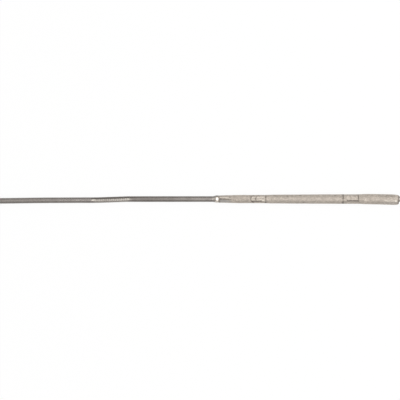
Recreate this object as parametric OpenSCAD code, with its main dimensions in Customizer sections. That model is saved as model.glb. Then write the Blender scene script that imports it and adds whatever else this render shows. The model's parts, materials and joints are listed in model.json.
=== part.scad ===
// Inoculating loop: a nichrome wire loop held by a small collet chuck on a steel rod,
// with an aluminium tube swaged and crimped over the rod as the grip.
// Millimetres, +Z up. The part lies along X: the centre of the rod's tail end is the
// origin, and the loop points to -X. The rod's slight bends lie in the level plane.

/* [Core rod] */
// Diameter of the steel rod
rod_d = 3; // [2.6:0.1:3.4]
// Length of rod that stands out behind the grip sleeve
tail_stub = 1.1; // [0.6:0.1:4]
// Chamfer round each end of the rod
rod_chamfer = 0.2; // [0.05:0.05:0.4]
// Straight rod from the sleeve's mouth to the first bend
shank_l = 48.2; // [30:0.2:80]
// Sideways bend at the start of the jog, in degrees
jog_angle = 2; // [0.5:0.1:6]
// Straight rod inside the jog
jog_l = 16.2; // [8:0.2:25]
// Bend back at the end of the jog, in degrees
jog_return = 1.8; // [0.5:0.1:6]
// Straight rod from the jog to the last bend
forearm_l = 28; // [15:1:50]
// Sideways bend of the last stretch, in degrees
droop_angle = 0.5; // [0.1:0.1:4]
// Straight rod from the last bend to the chuck
front_l = 28.5; // [15:0.5:60]
// How far the metal swells at each bend
bend_swell = 0.02; // [0.01:0.01:0.06]

/* [Grip sleeve] */
// Length of the grip sleeve
sleeve_l = 95.6; // [90:0.2:130]
// Radial room between the rod and the sleeve's bore, away from the crimps
sleeve_room = 0.05; // [0.02:0.01:0.12]
// Wall at the sleeve's mouth
mouth_wall = 0.43; // [0.38:0.01:0.55]
// Wall in front of the front crimp
front_wall = 0.71; // [0.66:0.01:0.8]
// Wall at the front of the middle stretch
middle_wall = 0.87; // [0.82:0.01:1]
// Wall at the rear of the middle stretch
rear_wall = 1.07; // [1.02:0.01:1.15]
// Wall at the tail's front shoulder
shoulder_wall = 1.21; // [1.18:0.01:1.25]
// Wall at the tail's thickest
tail_wall = 1.3; // [1.26:0.01:1.5]
// Length over which the mouth opens out to the front wall
mouth_taper_l = 11.5; // [9:0.5:15]
// Length of bore at the mouth that grips the rod
mouth_grip_l = 3; // [1:0.5:6]
// Length over which the wall steps up behind the front crimp
step_up_l = 3; // [1:0.5:6]
// Length of the tail, which leans a little to the side
tail_l = 20; // [14:0.5:21]
// Length over which the tail's front edge slopes up to its shoulder
tail_shoulder_l = 1.5; // [0.8:0.1:3]
// Length over which the tail swells from there to its thickest
tail_swell_l = 9; // [4:1:12]
// Lean of the tail towards -Y, in degrees
tail_lean = 1.2; // [0:0.1:2]
// Length of the taper that closes the tail
tail_taper_l = 2.4; // [1:0.1:4]
// How much that taper takes off the radius
tail_taper_drop = 0.36; // [0.1:0.02:0.5]
// Rounding of the tail's edge
tail_round = 0.3; // [0.1:0.05:0.4]

/* [Crimps] */
// Length of a crimp along the sleeve
crimp_l = 8; // [5:0.5:9]
// Distance from the sleeve's mouth to the front crimp
front_crimp_at = 17.2; // [16:0.2:20]
// Distance from the sleeve's mouth to the rear crimp
rear_crimp_at = 66.2; // [60:0.2:68]
// Depth of the front crimp's flats
front_crimp_depth = 0.26; // [0.1:0.01:0.35]
// Depth of the rear crimp's flats
rear_crimp_depth = 0.33; // [0.1:0.01:0.45]
// Turn of the front crimp's hexagon about the rod, in degrees
front_crimp_turn = -22; // [-30:1:30]
// Turn of the rear crimp's hexagon about the rod, in degrees
rear_crimp_turn = -22; // [-30:1:30]
// Length of the slope at each end of a crimp
crimp_slope_l = 0.7; // [0.3:0.1:1.2]
// Distance that the tool slipped back before its second, lighter strike
restrike_step = 2.6; // [1:0.1:4]
// Depth of the second strike's flats
restrike_depth = 0.17; // [0.05:0.01:0.3]

/* [Filed flat] */
// Length of the flat filed on the side of the mouth
flat_l = 6.4; // [4:0.2:9]
// Distance from the sleeve's mouth to the flat
flat_at = 0.7; // [0.5:0.1:2]
// Depth of the flat at its front end
flat_depth = 0.3; // [0.05:0.01:0.34]
// Turn of the flat from the top towards -Y, in degrees
flat_turn = 36; // [0:1:90]

/* [Tail facet] */
// Length of the facet hammered on the side of the tail
facet_l = 11.4; // [4:0.2:14]
// Depth of the facet at the tail's end, below the tail's thickest
facet_depth = 0.25; // [0.05:0.01:0.32]
// Turn of the facet from the top towards -Y, in degrees
facet_turn = 45; // [0:1:90]

/* [Solder fillet] */
// Height of the fillet's crest above the rod
fillet_h = 0.47; // [0.3:0.01:0.6]
// Length of the crest, against the sleeve
crest_l = 0.7; // [0.5:0.05:1.2]
// Rounding of the crest's edge at the sleeve
crest_round = 0.2; // [0.05:0.05:0.25]
// Length of the hollow slope in front of the crest
fillet_slope_l = 2.6; // [1.5:0.1:5]
// Thickness left at the slope's front edge
fillet_lip = 0.03; // [0.02:0.01:0.08]

/* [Chuck body] */
// Distance across the flats of the chuck's hexagon
hex_af = 5.5; // [5.4:0.1:7]
// Length of the hexagon
hex_l = 6.5; // [6:0.1:10]
// Length of the round boss behind the hexagon
boss_l = 3; // [1.5:0.1:5]
// Wall of the boss at its rear edge
boss_wall = 0.55; // [0.4:0.05:0.8]
// How far the boss's front edge lies in from the flats
boss_step = 0.15; // [0.05:0.05:0.3]
// Depth of the socket that takes the rod
socket_l = 8; // [7:0.1:8.5]
// Metal left between the rod and the collet's bore
partition_l = 0.5; // [0.3:0.1:1]
// Diameter of the thread that carries the nut
thread_d = 4; // [3.8:0.1:4.2]
// Length of the threaded spigot, with its run-out groove
spigot_l = 7; // [6:0.1:10]
// Width of the run-out groove behind the thread
groove_w = 0.8; // [0.5:0.1:1.2]
// Depth of the run-out groove
groove_depth = 0.25; // [0.1:0.05:0.3]
// Chamfer at the thread's end
thread_chamfer = 0.2; // [0.1:0.05:0.3]

/* [Cross pin] */
// Diameter of the pin that locks the rod in the chuck
pin_d = 0.8; // [0.6:0.1:1]
// How far each end of the pin lies below the hexagon's flat
pin_recess = 0.1; // [0.05:0.05:0.3]

/* [Collet] */
// Diameter of the collet's tail
collet_tail_d = 2.5; // [2.3:0.05:2.6]
// Diameter of the collet's head
collet_head_d = 3.3; // [3.1:0.05:3.5]
// Length of the straight part of the head
collet_head_l = 1; // [0.5:0.1:2]
// Slope of the collet's two cones, measured from its axis, in degrees
cone_angle = 30; // [25:1:45]
// Diameter of the collet's front face
collet_nose_d = 1.5; // [1.4:0.05:1.8]
// Width of the slots between the jaws
jaw_slot_w = 0.3; // [0.2:0.05:0.4]
// Length of the slots
jaw_slot_l = 6; // [4:0.1:8]
// Number of jaws
jaw_count = 4; // [3:1:4]
// Room behind the collet's tail
collet_end_room = 0.4; // [0.2:0.1:1]

/* [Clamping nut] */
// Outer diameter of the nut over its knurl
nut_d = 5.3; // [5.1:0.05:5.4]
// Length of the nut's tapered nose
nut_nose_l = 2.6; // [1.5:0.1:3.5]
// Diameter of the nut's front face
nut_face_d = 2.6; // [2.2:0.1:3]
// Diameter of the hole through the nut's nose
nut_hole_d = 1.2; // [1:0.05:1.3]
// Length of straight hole through the nose
nut_land = 1.2; // [0.6:0.1:2]
// Number of knurl ridges
knurl_count = 30; // [16:1:40]
// Depth of the knurl
knurl_depth = 0.16; // [0.08:0.01:0.2]
// Plain band at each end of the knurl
knurl_edge = 0.5; // [0.3:0.1:1]
// Chamfer round the nut's rear edge
nut_chamfer = 0.25; // [0.1:0.05:0.4]
// Relief behind the nut's thread
nut_relief = 0.3; // [0.2:0.1:0.8]
// Gap between the nut and the hexagon when the wire is clamped
nut_gap = 1.1; // [0.9:0.1:1.5]

/* [Wire loop] */
// Diameter of the wire
wire_d = 0.6; // [0.4:0.05:0.7]
// Inner diameter of the loop's eye
eye_id = 4; // [2:0.1:6]
// Length of wire outside the nut, to the far side of the eye
wire_reach = 50; // [35:1:80]
// Distance from the collet's tail to the wire's inner end
wire_setback = 0.7; // [0.3:0.1:3]
// Radius of the bends where the stem meets the eye
eye_neck_r = 1.4; // [1:0.1:3]
// Turns that the wire's end makes round the stem
wrap_turns = 3; // [1:0.5:6]
// Average gap between those turns
wrap_gap = 0.45; // [0.3:0.05:1]
// Room between those turns and the stem
wrap_room = 0.05; // [0.03:0.01:0.1]

/* [Clearances] */
// Radial room of a turning or sliding fit
running_fit = 0.04; // [0.02:0.01:0.08]
// Gap between two faces that seat on each other when the nut is tight
seat_gap = 0.06; // [0.03:0.01:0.12]
// Radial room round the collet's head inside the nut
head_room = 0.1; // [0.05:0.01:0.2]

/* [Hidden] */
$fn = 96;
// How far a cutter reaches past what it cuts
cut_over = 1;

rod_r = rod_d / 2;
pin_r = pin_d / 2;
// Corner radius of a hexagon for each unit of its half width across the flats
hex_corner = 1 / cos(30);

// The rod's route from the tail forwards: straight lengths, each with the bend after it
legs = [
    [tail_stub + sleeve_l + shank_l, jog_angle],
    [jog_l, -jog_return],
    [forearm_l, droop_angle],
    [front_l + socket_l, 0]
];

// Sleeve stations, measured from its tail end forwards
front_crimp_end = sleeve_l - front_crimp_at;
rear_crimp_end = sleeve_l - rear_crimp_at;
front_crimp_start = front_crimp_end - crimp_l;
rear_crimp_start = rear_crimp_end - crimp_l;
// How far the tube reaches into the tail, and how far the tail's front edge dips into it
tail_lap = 2;
tail_dip = 0.1;

// Chuck stations, measured from its rear face forwards
hex_end = boss_l + hex_l;
pin_at = boss_l + hex_l / 3;
thread_start = hex_end + groove_w;
thread_r = thread_d / 2;
spigot_end = hex_end + spigot_l;
collet_bore_start = socket_l + partition_l;

// Collet stations: its rear cone seats half way into the spigot's mouth
collet_tail_r = collet_tail_d / 2;
collet_head_r = collet_head_d / 2;
collet_nose_r = collet_nose_d / 2;
wire_bore_r = wire_d / 2 + running_fit;
cone_step = seat_gap / sin(cone_angle);
seat_r = (collet_tail_r + collet_head_r) / 2;
rear_cone_start = spigot_end + cone_step - cone_l(collet_tail_r, seat_r);
head_start = rear_cone_start + cone_l(collet_tail_r, collet_head_r);
head_end = head_start + collet_head_l;
collet_start = collet_bore_start + collet_end_room;
collet_end = head_end + cone_l(collet_head_r, collet_nose_r);

// Nut stations: its inner cone closes on the collet's front cone
nut_r = nut_d / 2;
nut_hole_r = nut_hole_d / 2;
nut_start = hex_end + nut_gap;
nut_bore_r = thread_r + running_fit;
nut_head_r = collet_head_r + head_room;
nut_cone_start = head_end + cone_step - cone_l(collet_head_r, nut_head_r);
nut_cone_end = nut_cone_start + cone_l(nut_head_r, nut_hole_r);
nut_end = nut_cone_end + nut_land;
nut_nose_start = nut_end - nut_nose_l;
knurl_start = nut_start + knurl_edge;
knurl_end = nut_nose_start - knurl_edge;

// Wire stations along the same line, and the sizes of its eye
wire_r = wire_d / 2;
wire_start = collet_start + wire_setback;
wire_end = nut_end + wire_reach;
eye_r = (eye_id + wire_d) / 2;
eye_at = wire_end - wire_r - eye_r;
wire_sides = 10;
bend_steps = 5;
eye_steps = 30;
wrap_steps = 14;
// The wrapped end runs just clear of the stem, and its turns close up away from the eye
wrap_r = wire_d + wrap_room;
wrap_closing = 1.25;
wrap_l = wrap_turns * (wire_d + wrap_gap);

// Length of a collet cone between two radii
function cone_l(r1, r2) = abs(r1 - r2) / tan(cone_angle);

// Radius of the sleeve where its wall is known
function sleeve_r(wall) = rod_r + wall;

// Radius of the sleeve's tapered mouth, a distance behind its front end
function mouth_r(at) = sleeve_r(mouth_wall + (front_wall - mouth_wall) * at / mouth_taper_l);

// Route of the rod -----------------------------------------------------------------

// Moves its children past leg i and the bend at its end
module past_leg(i) {
    translate([-legs[i][0], 0, 0])
        rotate([0, 0, legs[i][1]])
            children();
}

// Moves its children to the chuck's rear face: +Z along the rod, forwards, and +X up
module at_chuck(i = 0) {
    if (i == len(legs) - 1)
        translate([-front_l, 0, 0])
            rotate([0, -90, 0])
                children();
    else
        past_leg(i)
            at_chuck(i + 1)
                children();
}

// Moves its children to the sleeve's tail end: +Z along the rod, forwards, and +X up
module at_sleeve() {
    translate([-tail_stub, 0, 0])
        rotate([0, -90, 0])
            children();
}

// Leg i of the rod, the slight swelling of the metal at its bend, and the legs beyond
module rod_from(i) {
    rotate([0, -90, 0])
        cylinder(h = legs[i][0], r = rod_r);
    if (i < len(legs) - 1) {
        translate([-legs[i][0], 0, 0])
            sphere(r = rod_r + bend_swell);
        past_leg(i)
            rod_from(i + 1);
    }
}

// Shared cutters -------------------------------------------------------------------

// What a 45 degree chamfer of size c takes off the lower end of a bar of radius r
module chamfer_cut(r, c) {
    rotate_extrude()
        polygon([[r - c, 0], [r - c, -cut_over], [r + cut_over, -cut_over],
                 [r + cut_over, c + cut_over], [r, c]]);
}

// The cross pin's hole, through the hexagon's top and bottom flats and the rod
module pin_hole() {
    translate([0, 0, pin_at])
        rotate([0, 90, 0])
            cylinder(h = 2 * hex_af, r = pin_r, center = true);
}

// Core rod -------------------------------------------------------------------------

module core_rod() {
    color("silver")
        difference() {
            rod_from(0);
            rotate([0, -90, 0])
                chamfer_cut(rod_r, rod_chamfer);
            at_chuck()
                translate([0, 0, socket_l])
                    mirror([0, 0, 1])
                        chamfer_cut(rod_r, rod_chamfer);
            at_chuck()
                pin_hole();
        }
}

// Grip sleeve ----------------------------------------------------------------------

// The swaged tube in front of its tail, without its bore
module sleeve_blank() {
    rotate_extrude()
        polygon([
            [0, tail_l - tail_lap],
            [sleeve_r(rear_wall), tail_l - tail_lap],
            [sleeve_r(rear_wall), rear_crimp_end],
            [sleeve_r(middle_wall), front_crimp_start - step_up_l],
            [sleeve_r(front_wall), front_crimp_start],
            [sleeve_r(front_wall), sleeve_l - mouth_taper_l],
            [sleeve_r(mouth_wall), sleeve_l],
            [0, sleeve_l]
        ]);
}

// The tail, which swells, then tapers to a rounded edge
module tail_blank() {
    edge_r = sleeve_r(tail_wall) - tail_taper_drop;
    rotate_extrude() {
        polygon([
            [0, 0],
            [edge_r - tail_round, 0],
            [edge_r - tail_round, tail_round],
            [edge_r, tail_round],
            [sleeve_r(tail_wall), tail_taper_l],
            [sleeve_r(tail_wall), tail_l - tail_shoulder_l - tail_swell_l],
            [sleeve_r(shoulder_wall), tail_l - tail_shoulder_l],
            [sleeve_r(rear_wall) - tail_dip, tail_l],
            [0, tail_l]
        ]);
        translate([edge_r - tail_round, tail_round])
            circle(r = tail_round);
    }
}

// What a slanting flat takes off: its plane runs from radius r1 at height z to radius r2,
// a length l further on
module slanting_cut(turn, z, l, r1, r2) {
    wide = 2 * sleeve_r(tail_wall);
    rotate([0, 0, -turn])
        translate([r1, 0, z])
            rotate([0, atan((r2 - r1) / l), 0])
                translate([0, -wide / 2, 0])
                    cube([wide, wide, l]);
}

// Radius of the tail a distance in front of its end, where it swells
function tail_r(at) =
    let (past = max(0, at - (tail_l - tail_shoulder_l - tail_swell_l)))
        sleeve_r(tail_wall - (tail_wall - shoulder_wall) * past / tail_swell_l);

// The tail with its facet, leaning to the side from where it joins the tube
module leaning_tail() {
    translate([0, 0, tail_l])
        rotate([-tail_lean, 0, 0])
            translate([0, 0, -tail_l])
                difference() {
                    tail_blank();
                    slanting_cut(facet_turn, 0, facet_l, tail_r(0) - facet_depth,
                                 tail_r(facet_l));
                }
}

// What one strike of the crimping tool takes off: six flats, sloping out at each end
module strike_cut(end, wall, depth, turn) {
    outer_r = sleeve_r(wall);
    flat_r = outer_r - depth;
    translate([0, 0, end - crimp_l])
        difference() {
            cylinder(h = crimp_l, r = outer_r + cut_over);
            rotate([0, 0, turn])
                cylinder(h = crimp_l, r = flat_r * hex_corner, $fn = 6);
            cylinder(h = crimp_slope_l, r1 = outer_r, r2 = flat_r);
            translate([0, 0, crimp_l - crimp_slope_l])
                cylinder(h = crimp_slope_l, r1 = flat_r, r2 = outer_r);
        }
}

// The flat filed on the side of the mouth; it runs out at the tube's surface
module filed_flat_cut() {
    slanting_cut(flat_turn, sleeve_l - flat_at - flat_l, flat_l, mouth_r(flat_at + flat_l),
                 sleeve_r(mouth_wall) - flat_depth);
}

// A bore that grips the rod at the mouth and inside each crimp, and is free elsewhere
module sleeve_bore() {
    free_r = rod_r + sleeve_room;
    translate([0, 0, -cut_over])
        cylinder(h = sleeve_l + 2 * cut_over, r = rod_r);
    translate([0, 0, -cut_over])
        cylinder(h = rear_crimp_start + cut_over, r = free_r);
    translate([0, 0, rear_crimp_end])
        cylinder(h = front_crimp_start - rear_crimp_end, r = free_r);
    translate([0, 0, front_crimp_end])
        cylinder(h = sleeve_l - mouth_grip_l - front_crimp_end, r = free_r);
}

module grip_sleeve() {
    color("tan")
        at_sleeve()
            difference() {
                union() {
                    sleeve_blank();
                    leaning_tail();
                }
                strike_cut(front_crimp_end, front_wall, front_crimp_depth, front_crimp_turn);
                strike_cut(front_crimp_end - restrike_step, front_wall, restrike_depth,
                           front_crimp_turn);
                strike_cut(rear_crimp_end, rear_wall, rear_crimp_depth, rear_crimp_turn);
                filed_flat_cut();
                sleeve_bore();
            }
}

// Solder fillet --------------------------------------------------------------------

// Outline of the fillet's wall: the crest at the sleeve, then the hollow slope
module fillet_outline() {
    slope_h = fillet_h - fillet_lip;
    hollow_r = (fillet_slope_l * fillet_slope_l + slope_h * slope_h) / (2 * slope_h);
    difference() {
        square([fillet_h, crest_l + fillet_slope_l]);
        translate([fillet_lip + hollow_r, crest_l + fillet_slope_l])
            circle(r = hollow_r);
        translate([fillet_h - crest_round, 0])
            difference() {
                translate([0, -cut_over])
                    square([cut_over, cut_over + crest_round]);
                translate([0, crest_round])
                    circle(r = crest_round);
            }
    }
}

module solder_fillet() {
    color("gainsboro")
        at_sleeve()
            translate([0, 0, sleeve_l])
                rotate_extrude()
                    translate([rod_r, 0])
                        fillet_outline();
}

// Chuck body -----------------------------------------------------------------------

// The hexagon, its corners turned off at 30 degrees at both ends
module chuck_hexagon() {
    corner_r = hex_af / 2 * hex_corner;
    chamfer_l = (corner_r - hex_af / 2) * tan(30);
    translate([0, 0, boss_l])
        intersection() {
            rotate([0, 0, 30])
                cylinder(h = hex_l, r = corner_r, $fn = 6);
            rotate_extrude()
                polygon([
                    [0, 0],
                    [hex_af / 2, 0],
                    [corner_r, chamfer_l],
                    [corner_r, hex_l - chamfer_l],
                    [hex_af / 2, hex_l],
                    [0, hex_l]
                ]);
        }
}

// The round boss behind the hexagon and the spigot in front of it
module chuck_turning() {
    rotate_extrude()
        polygon([
            [0, 0],
            [rod_r + boss_wall, 0],
            [hex_af / 2 - boss_step, boss_l],
            [hex_af / 2 - boss_step, pin_at],
            [thread_r - groove_depth, pin_at],
            [thread_r - groove_depth, thread_start - groove_depth],
            [thread_r, thread_start],
            [thread_r, spigot_end - thread_chamfer],
            [thread_r - thread_chamfer, spigot_end],
            [0, spigot_end]
        ]);
}

module chuck_body() {
    bore_r = collet_tail_r + running_fit;
    color("lightgray")
        at_chuck()
            difference() {
                union() {
                    chuck_turning();
                    chuck_hexagon();
                }
                translate([0, 0, -cut_over])
                    cylinder(h = socket_l + cut_over, r = rod_r);
                translate([0, 0, collet_bore_start])
                    cylinder(h = spigot_end - collet_bore_start + cut_over, r = bore_r);
                translate([0, 0, spigot_end - cone_l(bore_r, seat_r)])
                    cylinder(h = 2 * cone_l(bore_r, seat_r), r1 = bore_r, r2 = 2 * seat_r - bore_r);
                pin_hole();
            }
}

// Cross pin ------------------------------------------------------------------------

module cross_pin() {
    color("dimgray")
        at_chuck()
            translate([0, 0, pin_at])
                rotate([0, 90, 0])
                    cylinder(h = hex_af - 2 * pin_recess, r = pin_r, center = true);
}

// Collet ---------------------------------------------------------------------------

module collet() {
    color("goldenrod")
        at_chuck()
            difference() {
                rotate_extrude()
                    polygon([
                        [0, collet_start],
                        [collet_tail_r, collet_start],
                        [collet_tail_r, rear_cone_start],
                        [collet_head_r, head_start],
                        [collet_head_r, head_end],
                        [collet_nose_r, collet_end],
                        [0, collet_end]
                    ]);
                translate([0, 0, collet_start - cut_over])
                    cylinder(h = collet_end - collet_start + 2 * cut_over, r = wire_bore_r);
                for (i = [0 : jaw_count - 1])
                    rotate([0, 0, 360 / jaw_count * (i + 1 / 2)])
                        translate([0, -jaw_slot_w / 2, collet_end - jaw_slot_l])
                            cube([collet_head_d, jaw_slot_w, jaw_slot_l + cut_over]);
            }
}

// Clamping nut ---------------------------------------------------------------------

// The nut's outside: a plain rear edge, the band for the knurl and a tapered nose
module nut_blank() {
    rotate_extrude()
        polygon([
            [0, nut_start],
            [nut_r - nut_chamfer, nut_start],
            [nut_r, nut_start + nut_chamfer],
            [nut_r, nut_nose_start],
            [nut_face_d / 2, nut_end],
            [0, nut_end]
        ]);
}

// The inside: thread, room for the collet's head, the cone that closes it, and the hole
module nut_bore() {
    translate([0, 0, nut_start - cut_over])
        cylinder(h = spigot_end + nut_relief - nut_start + cut_over, r = nut_bore_r);
    translate([0, 0, spigot_end])
        cylinder(h = nut_cone_start - spigot_end, r = nut_head_r);
    translate([0, 0, nut_cone_start])
        cylinder(h = cone_l(nut_head_r, nut_hole_r), r1 = nut_head_r, r2 = nut_hole_r);
    translate([0, 0, nut_cone_start])
        cylinder(h = nut_end - nut_cone_start + cut_over, r = nut_hole_r);
}

// One groove of the knurl: a square cutter with a corner towards the axis
module knurl_groove() {
    side = sqrt(2) * knurl_depth;
    translate([nut_r - knurl_depth, 0, knurl_start])
        rotate([0, 0, -45])
            cube([2 * side, 2 * side, knurl_end - knurl_start]);
}

module clamp_nut() {
    color("lightgray")
        at_chuck()
            difference() {
                nut_blank();
                nut_bore();
                for (i = [0 : knurl_count - 1])
                    rotate([0, 0, 360 / knurl_count * i])
                        knurl_groove();
            }
}

// Wire loop ------------------------------------------------------------------------

// The wire's centre line is a list of steps, each [place, direction, side], in the
// chuck's frame. A cross-section's first corner lies towards side.

// A step of a level stretch: y to the side, z forwards, heading turned from +Z to +Y
function level_step(y, z, heading) =
    [[0, y, z], [0, sin(heading), cos(heading)], [0, cos(heading), -sin(heading)]];

// How far the wire turns in the bend at each side of the eye's neck
stem_swing = acos(eye_neck_r / (eye_neck_r + eye_r));
wrap_swing = acos((eye_neck_r + wrap_r) / (eye_neck_r + eye_r));
stem_end = eye_at - (eye_neck_r + eye_r) * sin(stem_swing);
wrap_start = eye_at - (eye_neck_r + eye_r) * sin(wrap_swing);
half_turn = 180;

// From inside the collet to the eye, with a bend to the side at the end
stem_steps = [
    level_step(0, wire_start, 0),
    for (i = [0 : bend_steps])
        let (a = stem_swing * i / bend_steps)
            level_step(eye_neck_r * (1 - cos(a)), stem_end + eye_neck_r * sin(a), a)
];

// Round the eye
eye_ring_steps = [
    for (i = [1 : eye_steps - 1])
        let (a = stem_swing - (stem_swing + half_turn + wrap_swing) * i / eye_steps)
            level_step(eye_r * cos(a), eye_at - eye_r * sin(a), a)
];

// Back beside the stem
return_steps = [
    for (i = [0 : bend_steps])
        let (a = -half_turn - wrap_swing * (1 - i / bend_steps))
            level_step(-wrap_r - eye_neck_r * (1 + cos(a)), wrap_start + eye_neck_r * sin(a), a)
];

// Round the stem, away from the eye
wrap_count = ceil(wrap_turns * wrap_steps);
wrap_wire_steps = [
    for (i = [1 : wrap_count])
        let (
            t = i / wrap_count,
            a = 2 * half_turn * wrap_turns * pow(t, wrap_closing),
            sweep = 2 * PI * wrap_turns * wrap_closing * pow(t, wrap_closing - 1) * wrap_r,
            travel = [sweep * cos(a), sweep * sin(a), -wrap_l]
        )
            [[wrap_r * sin(a), -wrap_r * cos(a), wrap_start - wrap_l * t],
             travel / norm(travel),
             [sin(a), -cos(a), 0]]
];

// A wire of radius r along such steps, as one closed skin
module swept_wire(steps, r, sides) {
    corners = [
        for (s = steps)
            for (j = [0 : sides - 1])
                let (a = 360 * j / sides)
                    s[0] + r * (cos(a) * s[2] + sin(a) * cross(s[1], s[2]))
    ];
    last = len(steps) - 1;
    walls = [
        for (i = [0 : last - 1])
            for (j = [0 : sides - 1])
                let (k = (j + 1) % sides)
                    [i * sides + j, (i + 1) * sides + j, (i + 1) * sides + k, i * sides + k]
    ];
    start_cap = [for (j = [0 : sides - 1]) j];
    end_cap = [for (j = [0 : sides - 1]) (last + 1) * sides - 1 - j];
    polyhedron(points = corners, faces = concat(walls, [start_cap, end_cap]));
}

module wire_loop() {
    color("slategray")
        at_chuck()
            swept_wire(concat(stem_steps, eye_ring_steps, return_steps, wrap_wire_steps),
                       wire_r, wire_sides);
}

core_rod();
grip_sleeve();
solder_fillet();
chuck_body();
cross_pin();
collet();
clamp_nut();
wire_loop();
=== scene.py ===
"""Looks of an inoculating loop: a nichrome loop in a small collet chuck, on a bent steel
rod with an aluminium tube swaged and crimped over it as the grip. Metres, +Z up; the
handle lies along X with the loop towards -X, and the rod's bends lie in the level plane."""

import json
import math

import bpy
import numpy as np
from mathutils import Matrix, Vector


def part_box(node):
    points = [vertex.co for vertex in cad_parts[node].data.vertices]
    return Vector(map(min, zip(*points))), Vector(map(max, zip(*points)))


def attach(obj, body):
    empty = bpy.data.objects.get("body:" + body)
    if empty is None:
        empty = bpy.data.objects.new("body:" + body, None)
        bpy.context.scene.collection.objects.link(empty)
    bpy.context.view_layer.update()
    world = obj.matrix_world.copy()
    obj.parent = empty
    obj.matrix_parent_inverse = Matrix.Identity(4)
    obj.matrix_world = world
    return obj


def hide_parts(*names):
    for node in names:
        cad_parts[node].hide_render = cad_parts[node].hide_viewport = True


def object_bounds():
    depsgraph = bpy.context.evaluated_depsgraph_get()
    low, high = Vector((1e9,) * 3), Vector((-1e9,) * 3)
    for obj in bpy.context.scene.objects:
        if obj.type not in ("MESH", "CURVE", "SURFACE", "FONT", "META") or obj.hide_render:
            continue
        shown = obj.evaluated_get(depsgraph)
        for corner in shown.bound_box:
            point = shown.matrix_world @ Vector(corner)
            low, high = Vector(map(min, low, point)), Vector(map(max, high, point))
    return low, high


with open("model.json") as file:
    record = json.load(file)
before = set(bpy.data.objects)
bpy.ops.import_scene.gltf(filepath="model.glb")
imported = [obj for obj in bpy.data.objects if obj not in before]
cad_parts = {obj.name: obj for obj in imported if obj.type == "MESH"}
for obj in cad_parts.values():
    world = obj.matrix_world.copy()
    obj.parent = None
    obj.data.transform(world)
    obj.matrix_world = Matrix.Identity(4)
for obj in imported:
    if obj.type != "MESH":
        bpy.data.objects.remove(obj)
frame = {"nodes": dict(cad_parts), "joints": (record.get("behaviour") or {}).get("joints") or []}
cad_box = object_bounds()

MM = 0.001

# Rod, and its bends as (distance from the tail end, degrees)
ROD_R = 1.5 * MM
ROD_CHAMFER = 0.2 * MM
CHAMFER_STEP = 0.04 * MM
ROD_SIDES = 72
ROD_BENDS = [(144.9 * MM, 2.0), (161.1 * MM, -1.8), (189.1 * MM, 0.5)]
BEND_STEP = 0.5 * MM
SOCKET_DEPTH = 8.0 * MM

# Marks of the pliers on the rod: toothed flats, and longer smooth flats beside them
JAW_TURNS = (-5, 175)
JAW_FLAT_R = 1.405 * MM
JAW_ENDS = (144.3 * MM, 163.2 * MM)
JAW_RUN_OUT = 1.4 * MM
JAW_TOOTH_PITCH = 1.06 * MM
JAW_TOOTH_DEPTH = 0.025 * MM
JAW_SIDE_TURNS = (34, 214)
JAW_SIDE_R = 1.35 * MM
CRUSHED_DEPTH = 0.03 * MM

# Rod behind its first bend: its bare stub, and (distance from the tail, how dull)
STUB_LENGTH = 1.2 * MM
DULLED = [(117 * MM, 0.32), (125 * MM, 0.54), (140 * MM, 0.8), (143 * MM, 0.0)]

# Sleeve: (distance from its tail end, radius) of the swaged outside
TAIL_R = 2.79 * MM
SLEEVE_SHAPE = [
    (0.3 * MM, 2.44 * MM), (1.1 * MM, 2.66 * MM), (2.4 * MM, TAIL_R),
    (9.5 * MM, TAIL_R), (15.0 * MM, 2.75 * MM), (18.5 * MM, 2.7 * MM),
    (20.4 * MM, 2.57 * MM), (29.4 * MM, 2.56 * MM), (45.0 * MM, 2.49 * MM),
    (60.0 * MM, 2.4 * MM), (67.4 * MM, 2.35 * MM), (70.4 * MM, 2.21 * MM),
    (84.1 * MM, 2.2 * MM), (90.0 * MM, 2.08 * MM), (95.3 * MM, 1.92 * MM),
]
SLEEVE_SIDES = 180
SLEEVE_EDGE = 0.12 * MM
SLEEVE_BORE = ROD_R + 0.02 * MM
OUTSIDE_R = ROD_R + 0.1 * MM
HAMMER_MARK = 2.6 * MM
HAMMER_DEPTH = 0.09 * MM
TAIL_BEND_STATIONS = [19 * MM, 14.5 * MM, 10 * MM, 5.5 * MM]
TAIL_BEND = 0.5

# Crimps: (front end from the sleeve's tail, length, depth, turn, radius of the tube there)
CRIMP_STEP = 0.25 * MM
STRIKE_LENGTH = 8.0 * MM
FRONT_STRIKE = (78.4 * MM, STRIKE_LENGTH, 0.26 * MM, -22.0, 2.21 * MM)
SECOND_STRIKE = (75.8 * MM, STRIKE_LENGTH, 0.17 * MM, -22.0, 2.21 * MM)
REAR_STRIKE = (29.4 * MM, STRIKE_LENGTH, 0.33 * MM, -22.0, 2.57 * MM)
STRIKE_BOW = 1.8 * MM

# Creases along the crimps: turn, distance from the axis, and half their width in degrees
FRONT_CREASE = -34.0
FRONT_CREASE_R = 2.0 * MM
REAR_CREASE = -22.0
REAR_CREASE_R = 2.43 * MM
CREASE_HALF = 2.6

# Places filed flat: in front from its deep end backwards, and at the tail forwards
FLAT_END = 94.9 * MM
FLAT_LENGTH = 6.6 * MM
FLAT_R = 1.64 * MM
FLAT_END_R = 2.11 * MM
FLAT_TURN = -36
FACET_LENGTH = 11.4 * MM
FACET_R = TAIL_R - 0.25 * MM
FACET_END_R = 2.8 * MM
FACET_TURN = -45
FILED_DEPTH = 0.06 * MM

# Solder ring in front of the sleeve
FILLET_HEIGHT = 0.47 * MM
FILLET_CREST = 1.3 * MM
FILLET_SLOPE = 2.0 * MM
FILLET_LIP = 0.03 * MM

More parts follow.
